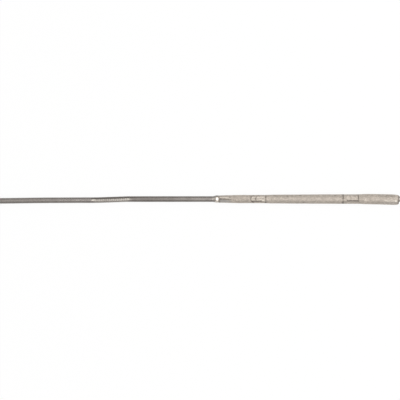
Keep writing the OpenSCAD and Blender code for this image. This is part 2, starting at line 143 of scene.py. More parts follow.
# Chuck, measured from its rear face forwards
BOSS_LENGTH = 3.0 * MM
BOSS_REAR_R = 2.05 * MM
BOSS_FRONT_R = 2.6 * MM
HEX_LENGTH = 6.5 * MM
HEX_HALF = 2.75 * MM
GROOVE_WIDTH = 0.8 * MM
GROOVE_R = 1.75 * MM
THREAD_R = 2.0 * MM
THREAD_PITCH = 0.5 * MM
THREAD_DEPTH = 0.27 * MM
THREAD_STEPS = 48
SPIGOT_LENGTH = 7.0 * MM
COLLET_BORE_R = 1.29 * MM
COLLET_BORE_DEPTH = 8.0 * MM
PIN_R = 0.4 * MM
PIN_RECESS = 0.1 * MM
PIN_AT = BOSS_LENGTH + HEX_LENGTH / 3
PIN_SIDES = 40
LATHE_SIDES = 96

# Nut
NUT_R = 2.65 * MM
NUT_NOSE = 2.6 * MM
NUT_FACE_R = 1.3 * MM
NUT_HOLE_R = 0.6 * MM
NUT_BORE_R = 2.04 * MM
NUT_EDGE = 0.06 * MM
COLLET_HEAD_R = 1.75 * MM
KNURL_RIDGES = 30
KNURL_DEPTH = 0.16 * MM
KNURL_EDGE = 0.5 * MM
KNURL_LEAD = 0.15 * MM

# Wire and its eye, and its tint, which starts behind the wraps
WIRE_R = 0.297 * MM
EYE_R = 2.298 * MM
NECK_R = 1.4 * MM
WRAP_TURNS = 3
WRAP_R = 0.65 * MM
WRAP_CLOSING = 1.25
WRAP_LENGTH = 3.15 * MM
TINT_BEHIND = 14 * MM
TINT_LENGTH = 16 * MM

# Colours of the rod
STEEL = (0.335, 0.309, 0.291)
STEEL_TARNISH = (0.268, 0.244, 0.228)
STEEL_LINES = (0.2, 0.188, 0.18)
STEEL_SPECKS = (0.16, 0.145, 0.13)
# darker colour for the jaws' side flats and a stretch behind the first bend
STEEL_SCUFFED = (0.19, 0.173, 0.16)
# crushed steel, made brighter still by a painted highlight
STEEL_CRUSHED = (0.66, 0.63, 0.56)

# Colours of the sleeve
ALUMINIUM = (0.66, 0.589, 0.515)
ALUMINIUM_CLOUD = (0.58, 0.518, 0.455)
ALUMINIUM_MOTTLE = (0.4, 0.355, 0.31)
ALUMINIUM_GRAIN = (0.37, 0.33, 0.29)
ALUMINIUM_LINES = (0.4, 0.36, 0.31)
ALUMINIUM_STAIN = (0.33, 0.26, 0.21)
ALUMINIUM_PITS = (0.28, 0.245, 0.21)
ALUMINIUM_CUTS = (0.36, 0.315, 0.27)
ALUMINIUM_RUBS = (0.74, 0.68, 0.6)
ALUMINIUM_FILED = (0.41, 0.395, 0.38)
# painted highlight on the sleeve
ALUMINIUM_BRIGHT = (0.82, 0.765, 0.68)
# dirt and painted shade in the sleeve's steps, creases and corners
DIRT = (0.13, 0.11, 0.094)

# Colours of the solder, the chuck, its pin, the collet and the wire
SOLDER = (0.94, 0.87, 0.79)
SOLDER_CLOUD = (0.75, 0.69, 0.625)
# painted shade on the solder
SOLDER_THIN = (0.31, 0.288, 0.268)
PLATING = (0.53, 0.515, 0.485)
PLATING_CLOUD = (0.45, 0.435, 0.405)
PLATING_RINGS = (0.38, 0.36, 0.335)
WORN_THROUGH = (0.6, 0.45, 0.23)
PIN_STEEL = (0.42, 0.41, 0.4)
PIN_SPECKS = (0.22, 0.2, 0.18)
BRASS = (0.72, 0.55, 0.26)
BRASS_CLOUD = (0.5, 0.36, 0.15)
FLAME_TINTS = [
    (0.0, (0.46, 0.44, 0.41)), (0.25, (0.45, 0.37, 0.26)), (0.4, (0.34, 0.22, 0.2)),
    (0.55, (0.2, 0.2, 0.27)), (0.72, (0.24, 0.24, 0.25)), (1.0, (0.16, 0.135, 0.125)),
]
OXIDE = (0.14, 0.12, 0.11)

# Camera straight above: the point that it looks at, its distance and the width it sees
VIEW_MIDDLE = Vector((-106.62 * MM, -0.5 * MM, 0))
VIEW_DISTANCE = 1.2
VIEW_WIDTH = 212.4 * MM

# Floor: its size, and how much of its own white light the camera sees
FLOOR_SIZE = 6
FLOOR_GLOW = 0.94


# Modelling ----------------------------


def only(piece):
    """Leaves one object selected and active, in object mode."""
    if bpy.context.object and bpy.context.object.mode != "OBJECT":
        bpy.ops.object.mode_set(mode="OBJECT")
    bpy.ops.object.select_all(action="DESELECT")
    if piece:
        piece.select_set(True)
        bpy.context.view_layer.objects.active = piece


def places(piece):
    """Every vertex of a piece, as an array of three columns."""
    flat = np.empty(len(piece.data.vertices) * 3)
    piece.data.vertices.foreach_get("co", flat)
    return flat.reshape(-1, 3)


def pick(piece, chosen):
    """Opens a piece in edit mode with the chosen vertices selected."""
    only(piece)
    mesh = piece.data
    mesh.polygons.foreach_set("select", np.zeros(len(mesh.polygons), bool))
    mesh.edges.foreach_set("select", np.zeros(len(mesh.edges), bool))
    mesh.vertices.foreach_set("select", chosen)
    bpy.ops.object.mode_set(mode="EDIT")
    bpy.ops.mesh.select_mode(type="VERT")


def pick_all(piece):
    """Opens a piece in edit mode with all of it selected."""
    only(piece)
    bpy.ops.object.mode_set(mode="EDIT")
    bpy.ops.mesh.select_all(action="SELECT")


def close():
    """Leaves edit mode."""
    bpy.ops.object.mode_set(mode="OBJECT")


def turned(name, outline, sides, hollow=False):
    """A piece turned about local Z: a circle, extruded and scaled from ring to ring. A
    hollow one's outline ends where it starts, and its last ring is merged with the first."""
    only(None)
    bpy.ops.mesh.primitive_circle_add(
        vertices=sides,
        radius=outline[0][1],
        fill_type="NOTHING" if hollow else "NGON",
        location=(0, 0, outline[0][0]),
    )
    piece = bpy.context.object
    piece.name = piece.data.name = name
    bpy.ops.object.transform_apply(location=True, rotation=False, scale=False)
    pick_all(piece)
    for (z0, r0), (z1, r1) in zip(outline, outline[1:]):
        bpy.ops.mesh.extrude_region_move(TRANSFORM_OT_translate={"value": (0, 0, z1 - z0)})
        bpy.ops.transform.resize(value=(r1 / r0, r1 / r0, 1), center_override=(0, 0, 0))
    bpy.ops.mesh.select_all(action="SELECT")
    bpy.ops.mesh.remove_doubles(threshold=0.000001)
    bpy.ops.mesh.normals_make_consistent(inside=False)
    close()
    return piece


def settle(piece, place):
    """Puts a piece in its place and leaves the place in its mesh."""
    only(piece)
    piece.matrix_world = place
    bpy.ops.object.transform_apply(location=True, rotation=True, scale=True)


def finish_modifier(piece, kind, **settings):
    """Adds a modifier with its settings and applies it."""
    only(piece)
    modifier = piece.modifiers.new(kind.title(), kind)
    for setting, value in settings.items():
        setattr(modifier, setting, value)
    bpy.ops.object.modifier_apply(modifier=modifier.name)


def press(piece, chosen, point, facing):
    """Presses the chosen vertices that stand above a plane down onto it."""
    facing = Vector(facing).normalized()
    side = facing.orthogonal().normalized()
    above = (places(piece) - np.array(point)) @ np.array(facing) > 0
    if not (chosen & above).any():
        return
    pick(piece, chosen & above)
    bpy.ops.transform.resize(
        value=(0, 1, 1),
        orient_type="GLOBAL",
        orient_matrix=(facing, side, facing.cross(side)),
        orient_matrix_type="GLOBAL",
        constraint_axis=(True, False, False),
        center_override=point,
    )
    close()


def turn_about(piece, chosen, point, degrees):
    """Turns the chosen vertices about the vertical line through a point."""
    pick(piece, chosen)
    bpy.ops.transform.rotate(
        value=-math.radians(degrees),
        orient_axis="Z",
        orient_type="GLOBAL",
        center_override=point,
    )
    close()


def stations(*spans):
    """Distances from span to span, each span as (end, step), starting at 0."""
    found = [0.0]
    for end, step in spans:
        count = max(1, round((end - found[-1]) / step))
        found += [found[-1] + (end - found[-1]) * (i + 1) / count for i in range(count)]
    return found


def outwards(turn):
    """The direction away from the axis at a turn about it, in degrees."""
    return Vector((math.cos(math.radians(turn)), math.sin(math.radians(turn)), 0))


def worked(before, after, depth):
    """How far each spot was moved, as a share of a depth and at most 1."""
    return np.clip(np.linalg.norm(after - before, axis=1) / depth, 0, 1)


def smooth(piece, degrees):
    """Shades a piece smooth, but for edges sharper than an angle."""
    only(piece)
    bpy.ops.object.shade_smooth_by_angle(angle=math.radians(degrees))


def mark(piece, **layers):
    """Keeps one number for each vertex, such as how much painted shade or dirt it has, for its
    material.
    """
    for name, values in layers.items():
        layer = piece.data.attributes.new(name, "FLOAT", "POINT")
        layer.data.foreach_set("value", np.clip(values, 0, 1).astype(np.float32))


def dress(piece, material, body, slot, *nodes):
    """Gives a finished piece its material and its body, and hides the CAD node it stands for."""
    only(None)
    piece.data.materials.clear()
    piece.data.materials.append(material)
    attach(piece, body)
    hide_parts(*nodes)


# Places -------------------------------

# Local Z runs forwards along the handle and local X is up
sleeve_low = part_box("grip_sleeve")[0]
AT_ROD = Matrix.Rotation(math.radians(-90), 4, "Y")
SLEEVE_TAIL = 1.1 * MM
AT_SLEEVE = Matrix.Translation((-SLEEVE_TAIL, 0, 0)) @ AT_ROD
SLEEVE_LENGTH = -sleeve_low.x - SLEEVE_TAIL

nut_joint = next(j for j in frame["joints"] if j["name"] == "nut_turn")
FORWARDS = Vector(nut_joint["axis"]).normalized()
AXIS_POINT = Vector(nut_joint["pos_m"])


def reach(node):
    """How far back and forwards a node reaches along the chuck's line, from AXIS_POINT."""
    corners = places(frame["nodes"][node]) - np.array(AXIS_POINT)
    along = corners @ np.array(FORWARDS)
    return along.min(), along.max()


chuck_rear = reach("chuck_body")[0]
CHUCK_REAR = AXIS_POINT + FORWARDS * chuck_rear
NUT_START, NUT_END = (station - chuck_rear for station in reach("clamp_nut"))
WIRE_START, WIRE_END = (station - chuck_rear for station in reach("wire_loop"))
UP = Vector((0, 0, 1))
AT_CHUCK = Matrix.Translation(CHUCK_REAR) @ Matrix(
    (UP, FORWARDS.cross(UP), FORWARDS)
).transposed().to_4x4()
ROD_LENGTH = -CHUCK_REAR.x + SOCKET_DEPTH


# Shader groups ------------------------


def group(name, output, **inputs):
    """A shader node group that reads a place and some numbers and puts out one mask: its
    tree, what it reads and the socket of its mask."""
    tree = bpy.data.node_groups.new(name, "ShaderNodeTree")
    tree.interface.new_socket("Place", in_out="INPUT", socket_type="NodeSocketVector")
    for label, value in inputs.items():
        socket = tree.interface.new_socket(label, in_out="INPUT", socket_type="NodeSocketFloat")
        socket.default_value = value
    tree.interface.new_socket(output, in_out="OUTPUT", socket_type="NodeSocketFloat")
    start = tree.nodes.new("NodeGroupInput")
    end = tree.nodes.new("NodeGroupOutput")
    return tree, start.outputs, end.inputs[0]


def node(tree, kind, links=(), **settings):
    """Adds a node, sets it, and links or sets its inputs."""
    made = tree.nodes.new(kind)
    for setting, value in settings.items():
        setattr(made, setting, value)
    for socket, value in dict(links).items():
        if isinstance(value, bpy.types.NodeSocket):
            tree.links.new(value, made.inputs[socket])
        else:
            made.inputs[socket].default_value = value
    return made


def spread(tree, value, low, high, to_low=0.0, to_high=1.0):
    """Stretches a value from low..high to to_low..to_high, and clips it there."""
    return node(
        tree,
        "ShaderNodeMapRange",
        {0: value, 1: low, 2: high, 3: to_low, 4: to_high},
        interpolation_type="SMOOTHSTEP",
    ).outputs[0]


def maths(tree, operation, first, second, **settings):
    """The result of one operation on two values."""
    return node(
        tree, "ShaderNodeMath", {0: first, 1: second}, operation=operation, **settings
    ).outputs[0]


def scaled(tree, value, factor):
    """A value times a factor."""
    return maths(tree, "MULTIPLY", value, factor)


def added(tree, first, second):
    """The sum of two masks, kept between 0 and 1."""
    return maths(tree, "ADD", first, second, use_clamp=True)


def summed(tree, first, *others):
    """The sum of masks, each as (mask, its share), kept between 0 and 1."""
    total = scaled(tree, *first)
    for part in others:
        total = added(tree, total, scaled(tree, *part))
    return total


def streaks(tree, place, scales, **settings):
    """Noise with a scale of its own along X, Y and Z."""
    spacing = node(tree, "ShaderNodeCombineXYZ", dict(zip("XYZ", scales))).outputs[0]
    stretched = node(
        tree, "ShaderNodeVectorMath", {0: place, 1: spacing}, operation="MULTIPLY"
    ).outputs[0]
    return node(tree, "ShaderNodeTexNoise", {"Vector": stretched, **settings}).outputs["Fac"]


def drawn_lines_group():
    """Fine lines along a bar from drawing it through a die: long in X, narrow across."""
    tree, start, end = group("drawn_lines", "Lines", Width=0.0002, Stretch=60.0)
    across = maths(tree, "DIVIDE", 1.0, start["Width"])
    along = maths(tree, "DIVIDE", across, start["Stretch"])
    lines = streaks(tree, start["Place"], (along, across, across), Scale=1.0, Detail=3.0)
    tree.links.new(spread(tree, lines, 0.35, 0.65), end)
    return tree


def turned_lines_group():
    """Fine rings round a turned piece: narrow in X, the same all the way round."""
    tree, start, end = group("turned_lines", "Rings", Width=0.0001)
    across = maths(tree, "DIVIDE", 1.0, start["Width"])
    slow = scaled(tree, across, 0.03)
    rings = streaks(tree, start["Place"], (across, slow, slow), Scale=1.0, Detail=2.0)
    tree.links.new(spread(tree, rings, 0.35, 0.65), end)
    return tree


def blotches_group():
    """Soft uneven patches, such as tarnish or stains from handling."""
    tree, start, end = group("blotches", "Patches", Size=0.002, Cover=0.5, Softness=0.12)
    noise = {
        "Vector": start["Place"],
        "Scale": maths(tree, "DIVIDE", 1.0, start["Size"]),
        "Detail": 4.0,
        "Roughness": 0.6,
        "Distortion": 0.4,
    }
    patches = node(tree, "ShaderNodeTexNoise", noise).outputs["Fac"]
    edge = maths(tree, "SUBTRACT", 1.0, start["Cover"])
    low = maths(tree, "SUBTRACT", edge, start["Softness"])
    high = maths(tree, "ADD", edge, start["Softness"])
    tree.links.new(spread(tree, patches, low, high), end)
    return tree


def scratches_group():
    """Short fine scratches that all run one way, as from a bench or a box of tools."""
    tree, start, end = group("scratches", "Scratches", Turn=0.5, Width=0.00012, Cover=0.3)
    place = node(
        tree,
        "ShaderNodeVectorRotate",
        {"Vector": start["Place"], "Angle": start["Turn"]},
        rotation_type="Z_AXIS",
    ).outputs[0]
    across = maths(tree, "DIVIDE", 1.0, start["Width"])
    along = scaled(tree, across, 0.04)
    lines = streaks(tree, place, (along, across, along), Scale=0.5, Detail=1.0)
    edge = maths(tree, "SUBTRACT", 0.85, start["Cover"])
    full = maths(tree, "ADD", edge, 0.08)
    tree.links.new(spread(tree, lines, edge, full), end)
    return tree


DRAWN_LINES = drawn_lines_group()
TURNED_LINES = turned_lines_group()
BLOTCHES = blotches_group()
SCRATCHES = scratches_group()


# Materials ----------------------------


def metal(name, metallic=1.0):
    """A new material, its tree and the Object coordinates."""
    material = bpy.data.materials.new(name)
    material.use_nodes = True
    tree = material.node_tree
    tree.nodes["Principled BSDF"].inputs["Metallic"].default_value = metallic
    return material, tree, node(tree, "ShaderNodeTexCoord").outputs["Object"]


def effect(tree, effect_group, place, **values):
    """The mask of a shared effect, with this material's own values."""
    values["Place"] = place
    return node(tree, "ShaderNodeGroup", values, node_tree=effect_group).outputs[0]


def marked(tree, name):
    """The numbers that a piece keeps under a name."""
    return node(tree, "ShaderNodeAttribute", attribute_name=name).outputs["Fac"]


def mixed(tree, mask, first, second):
    """The first colour where the mask is 0 and the second where it is 1."""
    inputs = {0: mask}
    for socket, shade in ((6, first), (7, second)):
        inputs[socket] = (*shade, 1) if isinstance(shade, tuple) else shade
    return node(tree, "ShaderNodeMix", inputs, data_type="RGBA").outputs[2]


def layered(tree, colour, *layers):
    """Lays shades over a colour, each as (mask, its share, shade), the last on top."""
    for mask, share, shade in layers:
        colour = mixed(tree, scaled(tree, mask, share), colour, shade)
    return colour


def surface(material, colour, rough, height, depth):
    """Gives a material its colour, its roughness and a bump of a real depth."""
    tree = material.node_tree
    bump = node(tree, "ShaderNodeBump", {"Height": height, "Distance": depth}).outputs[0]
    shader = tree.nodes["Principled BSDF"]
    for label, value in {"Base Color": colour, "Roughness": rough, "Normal": bump}.items():
        tree.links.new(value, shader.inputs[label])
    return material


def drawn_steel():
    """Dull steel with fine lines along it, bright where crushed and where a highlight is painted,
    and darker and rougher where marked.
    """
    material, tree, place = metal("drawn_steel")
    lines = effect(tree, DRAWN_LINES, place, Width=0.0003, Stretch=90.0)
    hairs = effect(tree, DRAWN_LINES, place, Width=0.00009, Stretch=160.0)
    tarnish = effect(tree, BLOTCHES, place, Size=0.007, Cover=0.5, Softness=0.2)
    specks = effect(tree, BLOTCHES, place, Size=0.0012, Cover=0.3, Softness=0.07)
    scuffed = marked(tree, "scuffed")
    colour = layered(
        tree,
        STEEL,
        (tarnish, 1.0, STEEL_TARNISH),
        (lines, 0.5, STEEL_LINES),
        (specks, 0.18, STEEL_SPECKS),
        (scuffed, 1.0, STEEL_SCUFFED),
        (marked(tree, "crushed"), 1.0, STEEL_CRUSHED),
    )
    rough = spread(tree, summed(tree, (tarnish, 0.6), (hairs, 0.4)), 0.0, 1.0, 0.26, 0.42)
    rough = added(tree, rough, scaled(tree, scuffed, 0.22))
    height = summed(tree, (lines, 0.6), (hairs, 0.4))
    return surface(material, colour, rough, height, 0.00001)


def swaged_aluminium():
    """Matt aluminium: cloudy, grained, pitted and scratched, with painted shade in its steps and
    creases, spots of dirt and painted highlights.
    """
    material, tree, place = metal("swaged_aluminium", 0.45)
    cloud = effect(tree, BLOTCHES, place, Size=0.0045, Cover=0.5, Softness=0.22)
    mottle = effect(tree, BLOTCHES, place, Size=0.0011, Cover=0.5, Softness=0.26)
    grain = effect(tree, DRAWN_LINES, place, Width=0.00045, Stretch=2.5)
    stain = effect(tree, BLOTCHES, place, Size=0.0032, Cover=0.34, Softness=0.1)
    pits = effect(tree, BLOTCHES, place, Size=0.0008, Cover=0.42, Softness=0.1)
    lines = effect(tree, DRAWN_LINES, place, Width=0.00025, Stretch=25.0)
    cuts = effect(tree, SCRATCHES, place, Turn=0.6, Width=0.00016, Cover=0.27)
    rubs = effect(tree, SCRATCHES, place, Turn=-0.9, Width=0.00022, Cover=0.25)
    uneven = maths(tree, "SUBTRACT", mottle, 0.5)
    soil = added(tree, marked(tree, "soil"), scaled(tree, uneven, 0.4))
    soil = spread(tree, soil, 0.1, 1.05)
    colour = layered(
        tree,
        ALUMINIUM,
        (cloud, 1.0, ALUMINIUM_CLOUD),
        (mottle, 0.7, ALUMINIUM_MOTTLE),
        (grain, 0.8, ALUMINIUM_GRAIN),
        (lines, 0.2, ALUMINIUM_LINES),
        (stain, 0.2, ALUMINIUM_STAIN),
        (pits, 0.36, ALUMINIUM_PITS),
        (cuts, 0.18, ALUMINIUM_CUTS),
        (rubs, 0.12, ALUMINIUM_RUBS),
        (marked(tree, "bare"), 1.0, ALUMINIUM_FILED),
        (marked(tree, "bright"), 1.0, ALUMINIUM_BRIGHT),
        (soil, 1.0, DIRT),
    )
    rough = spread(tree, summed(tree, (mottle, 0.5), (soil, 0.5)), 0.0, 1.0, 0.52, 0.66)
    height = summed(tree, (mottle, 0.4), (grain, 0.3), (lines, 0.3), (cuts, -0.3))
    return surface(material, colour, rough, height, 0.00002)


def bright_solder():
    """Bright solder, with painted shade, and rougher, at the sleeve, down its slope and down its
    sides.
    """
    material, tree, place = metal("bright_solder")
    cloud = effect(tree, BLOTCHES, place, Size=0.0012, Cover=0.4, Softness=0.2)
    thin = marked(tree, "thin")
    colour = layered(tree, SOLDER, (cloud, 0.5, SOLDER_CLOUD), (thin, 1.0, SOLDER_THIN))
    rough = spread(tree, summed(tree, (cloud, 0.4), (thin, 0.6)), 0.0, 1.0, 0.2, 0.38)
    return surface(material, colour, rough, cloud, 0.00002)


def plated_brass():
    """Turned brass with dull plating, which is worn through in places that hands rub."""
    material, tree, place = metal("plated_brass")
    rings = effect(tree, TURNED_LINES, place, Width=0.00007)
    cloud = effect(tree, BLOTCHES, place, Size=0.003, Cover=0.45, Softness=0.2)
    worn = effect(tree, BLOTCHES, place, Size=0.0009, Cover=0.4, Softness=0.08)
    through = maths(tree, "MULTIPLY", marked(tree, "rubbed"), worn)
    colour = layered(
        tree,
        PLATING,
        (cloud, 1.0, PLATING_CLOUD),
        (rings, 0.2, PLATING_RINGS),
        (through, 0.8, WORN_THROUGH),
    )
    rough = spread(tree, rings, 0.0, 1.0, 0.2, 0.34)
    return surface(material, colour, rough, rings, 0.000003)


def pin_steel():
    """Ground steel with dark specks."""
    material, tree, place = metal("pin_steel")
    specks = effect(tree, BLOTCHES, place, Size=0.0003, Cover=0.45, Softness=0.15)
    colour = mixed(tree, specks, PIN_STEEL, PIN_SPECKS)
    rough = spread(tree, specks, 0.0, 1.0, 0.28, 0.45)
    return surface(material, colour, rough, specks, 0.00001)


def collet_brass():
    """Bare turned brass."""
    material, tree, place = metal("collet_brass")
    rings = effect(tree, TURNED_LINES, place, Width=0.00008)
    cloud = effect(tree, BLOTCHES, place, Size=0.0015, Cover=0.45, Softness=0.2)
    colour = mixed(tree, cloud, BRASS, BRASS_CLOUD)
    rough = spread(tree, rings, 0.0, 1.0, 0.22, 0.36)
    return surface(material, colour, rough, rings, 0.000006)


def nichrome_wire():
    """Drawn wire, tinted by the flame towards its eye, with patches of oxide."""
    material, tree, place = metal("nichrome_wire")
    flamed = marked(tree, "flamed")
    oxide = effect(tree, BLOTCHES, place, Size=0.0007, Cover=0.5, Softness=0.15)
    lines = effect(tree, DRAWN_LINES, place, Width=0.00008, Stretch=60.0)
    tint = node(tree, "ShaderNodeValToRGB", {"Fac": flamed})
    tints = tint.color_ramp.elements
    tints[0].color = (*FLAME_TINTS[0][1], 1)
    tints[1].color = (*FLAME_TINTS[-1][1], 1)
    for position, shade in FLAME_TINTS[1:-1]:
        tints.new(position).color = (*shade, 1)
    colour = layered(tree, tint.outputs[0], (oxide, 0.3, OXIDE))
    rough = spread(tree, summed(tree, (flamed, 0.7), (lines, 0.3)), 0.0, 1.0, 0.26, 0.5)
    height = summed(tree, (lines, 0.5), (oxide, 0.5))
    return surface(material, colour, rough, height, 0.000008)


# Pieces -------------------------------


def build_rod(material):
    """The rod, drawn straight, marked by the pliers that bent it, and then bent."""
    first_bend, second_bend = ROD_BENDS[0][0], ROD_BENDS[1][0]
    rings = stations(
        (CHAMFER_STEP, CHAMFER_STEP), (ROD_CHAMFER, ROD_CHAMFER), (first_bend - 3 * MM, 6 * MM),
        (second_bend + 5 * MM, 0.25 * MM), (ROD_LENGTH - ROD_CHAMFER, 4 * MM),
        (ROD_LENGTH, ROD_CHAMFER),
    )
    end_r = ROD_R - ROD_CHAMFER
    edge = {0: end_r, 1: ROD_R - 0.13 * MM, len(rings) - 1: end_r}
    outline = [(z, edge.get(i, ROD_R)) for i, z in enumerate(rings)]
    rod = turned("rod", outline, ROD_SIDES)
    squeeze_rod(rod, first_bend, second_bend)
    settle(rod, AT_ROD)
    for station, degrees in reversed(ROD_BENDS):
        for i in range(3):
            hinge = station + (i - 1) * BEND_STEP
            turn_about(rod, places(rod)[:, 0] < -hinge, (-hinge, 0, 0), degrees / 3)
    smooth(rod, 50)
    dress(rod, material, "holder", "drawn_steel", "core_rod")


def jaw_flat(rod, turn, flat_r, first, last, rise):
    """A flat between two stations, facing a turn, that rises to the surface at its ends."""
    out = outwards(turn)
    z = places(rod)[:, 2]
    press(rod, (z > first) & (z < last), out * flat_r, out)
    run_out(rod, out, flat_r, first, -rise)
    run_out(rod, out, flat_r, last, rise)


def squeeze_rod(rod, first, last):
    """Jaw marks between the two bends: narrow toothed flats on opposite sides, and a
    longer smooth flat beside each."""
    start = places(rod)
    for turn in JAW_TURNS:
        jaw_flat(rod, turn, JAW_FLAT_R, *JAW_ENDS, JAW_RUN_OUT)
        out = outwards(turn)
        for i in range(int((last - first) / JAW_TOOTH_PITCH) - 1):
            tooth = first + (i + 1) * JAW_TOOTH_PITCH
            near = abs(places(rod)[:, 2] - tooth) < 0.3 * JAW_TOOTH_PITCH
            press(rod, near, out * (JAW_FLAT_R - JAW_TOOTH_DEPTH), out)
    toothed = places(rod)
    for turn in JAW_SIDE_TURNS:
        jaw_flat(rod, turn, JAW_SIDE_R, first - MM, last + MM, 2 * JAW_RUN_OUT)
    crushed = worked(start, toothed, CRUSHED_DEPTH)
    rod_wear(rod, start, crushed, worked(toothed, places(rod), CRUSHED_DEPTH))


def rod_wear(rod, start, crushed, scuffed):
    """Marks how bright and how dull each spot of the rod is: crushed steel is brighter, with a
    painted highlight that is strongest at the ends of the jaws' marks and on their +Y edge, a
    painted highlight on the side below them, and the stub painted brighter. Behind its first
    bend the rod is darker and rougher, most just before the bend."""
    side, station = start[:, 1], start[:, 2]
    ends = [np.exp(-(((station - at) / JAW_RUN_OUT) ** 2)) for at in JAW_ENDS]
    # painted highlight on the crushed flats, strongest at the ends of the jaws' marks and on their
    # +Y edge
    shine = 0.32 + 0.72 * np.maximum(*ends)
    shine *= np.clip(0.75 + side / (0.6 * MM), 0.25, 1)
    # painted highlight on the side below the jaws' marks, between the bends
    rubbed = 0.2 * (side < -0.3 * MM)
    rubbed *= np.clip((station - JAW_ENDS[0]) / MM, 0, 1)
    rubbed *= np.clip((JAW_ENDS[1] - station) / MM, 0, 1)
    # the stub is painted brighter
    stub = 0.35 * (station < STUB_LENGTH)
    # darker and rougher behind the first bend, most just before it
    dull = np.interp(station, *zip(*DULLED)) * (stub == 0)
    mark(rod, crushed=crushed * shine + rubbed + stub, scuffed=scuffed + dull)


def run_out(piece, out, flat_r, start, length):
    """A flat that starts at a station and rises to the rod's surface over a length."""
    z = places(piece)[:, 2]
    beyond = z < start if length < 0 else z > start
    slope = out * abs(length) + Vector((0, 0, -math.copysign(ROD_R - flat_r, length)))
    press(piece, beyond, out * flat_r + Vector((0, 0, start)), slope)


def sleeve_radius(z):
    """The sleeve's outer radius at a distance from its tail end."""
    return float(np.interp(z, [s for s, r in SLEEVE_SHAPE], [r for s, r in SLEEVE_SHAPE]))


def build_sleeve(material):
    """The grip: a tube swaged over the rod, crimped twice and a little bent at its tail."""
    fine, coarse = 0.22 * MM, 0.75 * MM
    rings = stations(
        (0.3 * MM, 0.3 * MM), (2.6 * MM, 0.3 * MM), (REAR_STRIKE[0] - 8.8 * MM, coarse),
        (REAR_STRIKE[0] + 0.8 * MM, fine), (SECOND_STRIKE[0] - 8.8 * MM, coarse),
        (FRONT_STRIKE[0] + 0.8 * MM, fine), (SLEEVE_LENGTH - 8 * MM, coarse),
        (SLEEVE_LENGTH - 0.3 * MM, 0.2 * MM), (SLEEVE_LENGTH, 0.3 * MM),
    )
    outline = [(0.0, SLEEVE_BORE), (0.0, 2.15 * MM), (0.06 * MM, 2.29 * MM)]
    outline += [(z, sleeve_radius(z)) for z in rings[1:-1]]
    mouth_r = sleeve_radius(SLEEVE_LENGTH)
    outline += [
        (SLEEVE_LENGTH - 0.05 * MM, mouth_r - 0.04 * MM), (SLEEVE_LENGTH, mouth_r - SLEEVE_EDGE),
        (SLEEVE_LENGTH, SLEEVE_BORE), (0.0, SLEEVE_BORE),
    ]
    sleeve = turned("grip", outline, SLEEVE_SIDES, hollow=True)
    crimp(sleeve, *REAR_STRIKE)
    crimp(sleeve, *FRONT_STRIKE, STRIKE_BOW)
    crimp(sleeve, *SECOND_STRIKE, STRIKE_BOW)
    front, rear = FRONT_STRIKE[0], REAR_STRIKE[0]
    crease(sleeve, FRONT_CREASE, front - 5.6 * MM, front - 0.4 * MM, FRONT_CREASE_R)
    crease(sleeve, REAR_CREASE, rear - 8.6 * MM, rear - 2.0 * MM, REAR_CREASE_R)
    bare = 0.9 * file_flat(sleeve, FLAT_END, -1, FLAT_LENGTH, FLAT_R, FLAT_END_R, FLAT_TURN)
    bare += 0.3 * file_flat(sleeve, 0.0, 1, FACET_LENGTH, FACET_R, FACET_END_R, FACET_TURN)
    soil, bright = wear_marks(places(sleeve))
    dent(sleeve)
    settle(sleeve, AT_SLEEVE)
    for station in TAIL_BEND_STATIONS:
        hinge = -SLEEVE_TAIL - station
        turn_about(sleeve, places(sleeve)[:, 0] > hinge, (hinge, 0, 0), -TAIL_BEND)
    smooth(sleeve, 17)
    mark(sleeve, soil=soil, bare=bare, bright=bright)
    dress(sleeve, material, "holder", "swaged_aluminium", "grip_sleeve")


def file_flat(sleeve, start, forwards, length, start_r, end_r, turn):
    """A flat filed on the sleeve's side, deepest at its start and running out to nothing.
    Gives how much each spot was filed."""
    before = places(sleeve)
    out = outwards(turn)
    near = (before[:, 2] - start) * forwards
    facing = out * length + Vector((0, 0, forwards * (start_r - end_r)))
    chosen = (near >= 0) & (near < length)
    press(sleeve, chosen, out * start_r + Vector((0, 0, start)), facing)
    return worked(before, places(sleeve), FILED_DEPTH)


def crease(sleeve, turn, rear, front, depth_r):
    """A narrow groove along the sleeve."""
    out = outwards(turn)
    spots = places(sleeve)
    off = (np.degrees(np.arctan2(spots[:, 1], spots[:, 0])) - turn + 180) % 360 - 180
    along = (spots[:, 2] > rear) & (spots[:, 2] < front)
    press(sleeve, along & (abs(off) < CREASE_HALF), out * depth_r, out)


def dent(sleeve):
    """Slight unevenness all over the outside, as hammering and handling leave it."""
    only(sleeve)
    uneven = bpy.data.textures.new("hammered", "CLOUDS")
    uneven.noise_scale = HAMMER_MARK
    uneven.noise_depth = 2
    spots = places(sleeve)
    outside = sleeve.vertex_groups.new(name="outside")
    radius = np.hypot(spots[:, 0], spots[:, 1])
    fade = np.clip(np.minimum(spots[:, 2], SLEEVE_LENGTH - spots[:, 2]) / (1.5 * MM), 0, 1)
    for i in np.nonzero(radius > OUTSIDE_R)[0]:
        outside.add([int(i)], float(fade[i]), "REPLACE")
    finish_modifier(
        sleeve, "DISPLACE", texture=uneven, texture_coords="LOCAL", vertex_group="outside",
        mid_level=0.75, strength=HAMMER_DEPTH,
    )
    bpy.data.textures.remove(uneven)


